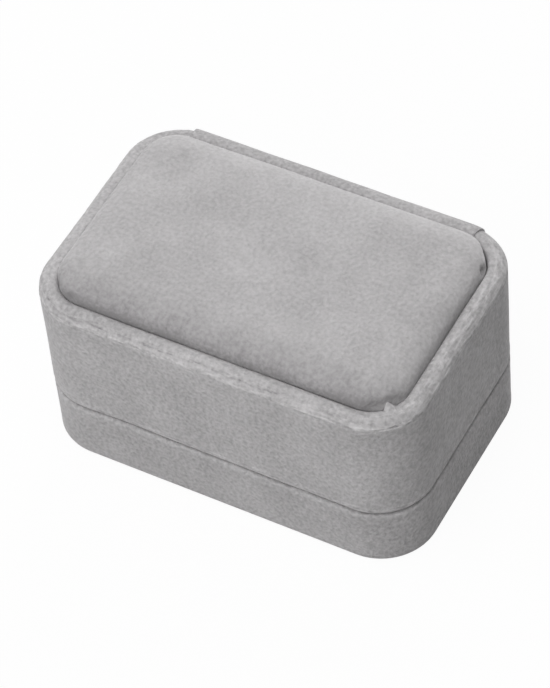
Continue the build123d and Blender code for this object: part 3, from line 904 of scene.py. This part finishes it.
class RINGBOX_OT_ceiling_cushion(bpy.types.Operator):
    """Thin cushion in the lid's ceiling"""

    bl_idname = "ring_box.ceiling_cushion"
    bl_label = "Ceiling Cushion"

    def execute(self, context):
        swell, roll_in, roll_up = 0.5 * MM, 2.6 * MM, 0.9 * MM
        ceiling = CEILING_PAD_HIGH.z
        side = ceiling - CEILING_PAD_LOW.z - roll_up - swell
        bm = cushion_form(CEILING_PAD_HIGH, 0, side, roll_in, roll_up, CEILING_PAD_CORNER)
        bm = even_net(bm, voxel=0.5 * MM, smoothings=2)
        crown(bm, CEILING_PAD_HIGH, side, swell)
        # It was made lying on its back, and hangs from the ceiling.
        bmesh.ops.rotate(bm, cent=(0, 0, 0), matrix=Matrix.Rotation(math.pi, 3, "X"),
                         verts=bm.verts[:])
        bmesh.ops.translate(bm, vec=(0, 0, ceiling), verts=bm.verts[:])
        soften(bm, size=12 * MM, amount=0.12 * MM, seed=15.0)
        piece = make_piece(bm, "ceiling_cushion", cloth("inside"))
        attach(piece, "lid")
        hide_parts("lid_lining_pad")
        return {"FINISHED"}


# ---- Frame parts that show as they are ----
class RINGBOX_OT_frame_finishes(bpy.types.Operator):
    """Finishes for the shells, cards and hinge of the frame"""

    bl_idname = "ring_box.frame_finishes"
    bl_label = "Frame Finishes"

    def execute(self, context):
        finishes = {
            "shell_plastic": shell_material(),
            "grey_board": board_material(),
            "flock_paper": flock_material(),
            "hinge_steel": steel_material("zinc plated steel", srgb("B4B6B8"),
                                          srgb("CDCFD0"), 0.34),
            "spring_steel": steel_material("spring steel", srgb("8C9097"),
                                           srgb("A6AAB0"), 0.28),
        }
        for row in frame["record"]["subparts"]:
            finish = finishes.get(row["material_slot"])
            if finish:
                part = frame["nodes"][row["node"]]
                part.data.materials.clear()
                part.data.materials.append(finish)
        return {"FINISHED"}


# ---- Stage ----
class RINGBOX_OT_stage(bpy.types.Operator):
    """Pale floor, soft light and the camera"""

    bl_idname = "ring_box.stage"
    bl_label = "Stage"

    def execute(self, context):
        make_floor()
        make_lights()
        make_camera()
        context.scene.view_settings.view_transform = "Standard"
        return {"FINISHED"}


def make_floor():
    """A white sheet of paper that runs out of view, with the box's soft shadow on it."""
    bm = bmesh.new()
    bmesh.ops.create_grid(bm, x_segments=1, y_segments=1, size=3)
    floor = as_object(bm, "floor")
    material, tree = new_material("white paper")
    seen = add_node(tree, "ShaderNodeLightPath")
    # Straight to the camera the paper is mostly a white backdrop, with a trace of the shadow.
    paper = add_node(tree, "ShaderNodeBsdfDiffuse", {"Color": srgb("B8B8B8")})
    glow = add_node(tree, "ShaderNodeEmission", {"Color": srgb("FEFEFE"), "Strength": 1.06})
    lit = add_node(tree, "ShaderNodeMixShader", {0: 0.9},
                   {1: paper.outputs[0], 2: glow.outputs[0]})
    mix = add_node(tree, "ShaderNodeMixShader", None,
                   {0: seen.outputs["Is Camera Ray"], 1: paper.outputs[0], 2: lit.outputs[0]})
    add_node(tree, "ShaderNodeOutputMaterial", None, {"Surface": mix.outputs[0]})
    floor.data.materials.append(material)


def make_lights():
    """A white room as the camera and gloss see it, and soft lamps, most of them at the left."""
    world = bpy.data.worlds.new("room")
    world.use_nodes = True
    tree = world.node_tree
    tree.nodes.clear()
    seen = add_node(tree, "ShaderNodeLightPath")
    seen_plainly = add_node(tree, "ShaderNodeMath", None,
                            {0: seen.outputs["Is Camera Ray"],
                             1: seen.outputs["Is Glossy Ray"]}, operation="MAXIMUM")
    room = add_node(tree, "ShaderNodeBackground", {"Color": srgb("FFFFFF"), "Strength": 0.17})
    backdrop = add_node(tree, "ShaderNodeBackground",
                        {"Color": srgb("FEFEFE"), "Strength": 1.0})
    mix = add_node(tree, "ShaderNodeMixShader", None,
                   {0: seen_plainly.outputs[0], 1: room.outputs[0], 2: backdrop.outputs[0]})
    add_node(tree, "ShaderNodeOutputWorld", None, {"Surface": mix.outputs[0]})
    bpy.context.scene.world = world
    for name, azimuth, elevation, power in LAMPS:
        place_lamp(name, azimuth, elevation, distance=0.8, size=0.5, power=power)


def place_lamp(name, azimuth, elevation, distance, size, power):
    """A square lamp that faces the box. Azimuth 0 is in front of it and 90 to its right."""
    turn, rise = math.radians(azimuth), math.radians(elevation)
    way = Vector((math.sin(turn) * math.cos(rise), -math.cos(turn) * math.cos(rise),
                  math.sin(rise)))
    lamp = bpy.data.lights.new(name, "AREA")
    lamp.shape = "SQUARE"
    lamp.size = size
    lamp.energy = power
    holder = add_object(name, lamp)
    holder.location = way * distance
    holder.rotation_mode = "QUATERNION"
    holder.rotation_quaternion = way.to_track_quat("Z", "Y")


def make_camera():
    """The photograph's view, found from the box's outline and seam."""
    azimuth, elevation, roll = (math.radians(a) for a in (32.80, 49.98, -6.086))
    distance, right_by, up_by = 637.7 * MM, 2.038 * MM, -11.484 * MM
    photo_height, focal_pixels, sensor = 688, 3500.3, 36.0
    back = Vector((math.sin(azimuth) * math.cos(elevation),
                   -math.cos(azimuth) * math.cos(elevation), math.sin(elevation)))
    right = Vector((math.cos(azimuth), math.sin(azimuth), 0))
    above = back.cross(right)
    turned_right = right * math.cos(roll) + above * math.sin(roll)
    turned_above = above * math.cos(roll) - right * math.sin(roll)
    lens = bpy.data.cameras.new("camera")
    lens.sensor_width = sensor
    lens.lens = focal_pixels / photo_height * sensor
    lens.clip_start, lens.clip_end = 0.01, 20
    camera = add_object("camera", lens)
    place = back * distance - turned_right * right_by - turned_above * up_by
    turn = Matrix((turned_right, turned_above, back)).transposed().to_4x4()
    camera.matrix_world = Matrix.Translation(place) @ turn
    bpy.context.scene.camera = camera


class RINGBOX_PT_panel(bpy.types.Panel):
    """Lists the box's sizes, colours and pieces in the sidebar"""

    bl_idname = "RINGBOX_PT_panel"
    bl_label = "Ring Box"
    bl_space_type = "VIEW_3D"
    bl_region_type = "UI"
    bl_category = "Ring Box"

    def draw(self, context):
        layout = self.layout
        for group in (context.scene.ring_box_sizes, context.scene.ring_box_colours):
            for name in group.__annotations__:
                layout.prop(group, name)
        for cls in CLASSES:
            if issubclass(cls, bpy.types.Operator):
                layout.operator(cls.bl_idname)


CLASSES = (
    RINGBOX_PG_sizes,
    RINGBOX_PG_colours,
    RINGBOX_OT_base_wrap,
    RINGBOX_OT_lid_wrap,
    RINGBOX_OT_hinge_strip,
    RINGBOX_OT_top_cushion,
    RINGBOX_OT_ring_cushion,
    RINGBOX_OT_ceiling_cushion,
    RINGBOX_OT_collar_cover,
    RINGBOX_OT_lid_lining,
    RINGBOX_OT_frame_finishes,
    RINGBOX_OT_stage,
    RINGBOX_PT_panel,
)


def register():
    """Adds the classes and the two groups of settings."""
    for cls in CLASSES:
        bpy.utils.register_class(cls)
    bpy.types.Scene.ring_box_sizes = PointerProperty(type=RINGBOX_PG_sizes)
    bpy.types.Scene.ring_box_colours = PointerProperty(type=RINGBOX_PG_colours)


def unregister():
    """Takes out what register added."""
    del bpy.types.Scene.ring_box_colours
    del bpy.types.Scene.ring_box_sizes
    for cls in reversed(CLASSES):
        bpy.utils.unregister_class(cls)


def main():
    """Makes every piece and the stage."""
    register()
    bpy.ops.ring_box.base_wrap()
    bpy.ops.ring_box.lid_wrap()
    bpy.ops.ring_box.hinge_strip()
    bpy.ops.ring_box.top_cushion()
    bpy.ops.ring_box.ring_cushion()
    bpy.ops.ring_box.ceiling_cushion()
    bpy.ops.ring_box.collar_cover()
    bpy.ops.ring_box.lid_lining()
    bpy.ops.ring_box.frame_finishes()
    bpy.ops.ring_box.stage()


if __name__ == "__main__":
    main()
